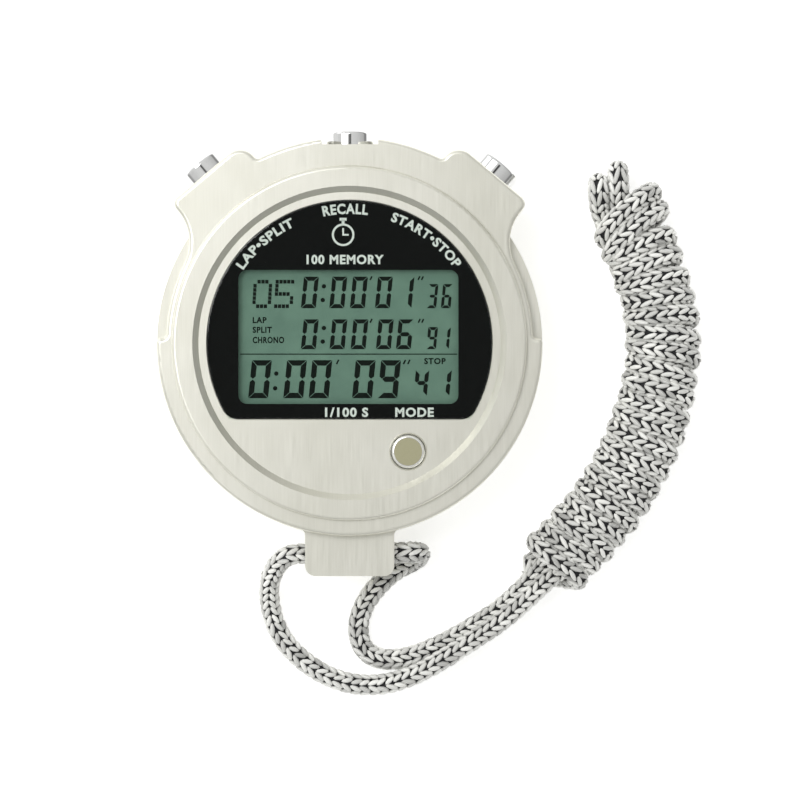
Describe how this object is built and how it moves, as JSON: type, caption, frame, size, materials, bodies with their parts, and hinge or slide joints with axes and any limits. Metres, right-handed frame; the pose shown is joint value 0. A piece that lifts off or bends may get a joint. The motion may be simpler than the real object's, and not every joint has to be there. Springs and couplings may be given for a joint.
{
  "type": "digital stopwatch",
  "caption": "Hand-held digital stopwatch: round metal case with push buttons, a lens over a grey-green display, and a braided lanyard wound into a hank.",
  "frame": {"origin": "middle of the round case on its flat back", "axes": "+Z out of the face, +Y towards the push buttons, +X to the right of the face"},
  "size_m": [0.094, 0.0977, 0.017],
  "materials": {
    "satin_nickel": "satin nickel plate on a zinc casting",
    "chrome": "polished chrome plate",
    "grey_button": "satin grey plate",
    "clear_lens": "clear moulded acrylic",
    "black_print": "black printed film",
    "display": "liquid crystal glass over a grey-green reflector",
    "reflector": "matt foil",
    "black_rubber": "moulded rubber",
    "silicone": "silicone contact strip",
    "frame_plastic": "moulded plastic",
    "board": "green solder mask on glass fibre",
    "black_resin": "potting resin",
    "component": "ceramic chip",
    "crystal_can": "drawn can",
    "cell_steel": "bright nickelled steel",
    "screw_steel": "zinc-plated steel",
    "spring_steel": "spring wire",
    "brass": "bright brass",
    "white_cord": "braided polyester yarn"
  },
  "bodies": {
    "case": {"case_front": "satin_nickel", "case_back": "satin_nickel", "back_gasket": "black_rubber", "back_screws": "screw_steel", "lens": "clear_lens", "lens_mask": "black_print", "lens_gasket": "black_rubber", "display_glass": "display", "display_reflector": "reflector", "contact_strips": "silicone", "movement_frame": "frame_plastic", "movement_screws": "screw_steel", "circuit_board": "board", "board_screws": "screw_steel", "chip_cover": "black_resin", "quartz_crystal": "crystal_can", "board_components": "component", "coin_cell": "cell_steel", "cell_contact": "spring_steel", "cell_clip": "spring_steel", "buzzer_disc": "brass", "buzzer_springs": "spring_steel", "button_bushes": "brass", "button_contacts": "brass", "mode_spring": "spring_steel", "mode_dome": "spring_steel", "lanyard_in_lug": "white_cord", "lanyard_left": "white_cord", "lanyard_right": "white_cord", "lanyard_hank": "white_cord", "lanyard_eye": "white_cord", "lap_seal": "black_rubber", "lap_spring": "spring_steel", "recall_seal": "black_rubber", "recall_spring": "spring_steel", "start_seal": "black_rubber", "start_spring": "spring_steel"},
    "lap_button_body": {"lap_button": "chrome", "lap_stem": "screw_steel", "lap_clip": "spring_steel"},
    "recall_button_body": {"recall_button": "chrome", "recall_stem": "screw_steel", "recall_clip": "spring_steel"},
    "start_button_body": {"start_button": "chrome", "start_stem": "screw_steel", "start_clip": "spring_steel"},
    "mode_button_body": {"mode_button": "grey_button"}
  },
  "joints": [
    {"name": "lap_press", "type": "slide", "parent": "case", "child": "lap_button_body", "axis": [0.6428, -0.766, 0], "range_m": [0, 0.0012], "stiffness_N_per_m": 400, "springref_m": -0.004},
    {"name": "recall_press", "type": "slide", "parent": "case", "child": "recall_button_body", "axis": [0, -1, 0], "range_m": [0, 0.0012], "stiffness_N_per_m": 400, "springref_m": -0.004},
    {"name": "start_press", "type": "slide", "parent": "case", "child": "start_button_body", "axis": [-0.6428, -0.766, 0], "range_m": [0, 0.0012], "stiffness_N_per_m": 400, "springref_m": -0.004},
    {"name": "mode_press", "type": "slide", "parent": "case", "child": "mode_button_body", "axis": [0, 0, -1], "range_m": [0, 0.0006], "stiffness_N_per_m": 400, "springref_m": -0.003, "deforming": ["mode_spring"]}
  ]
}
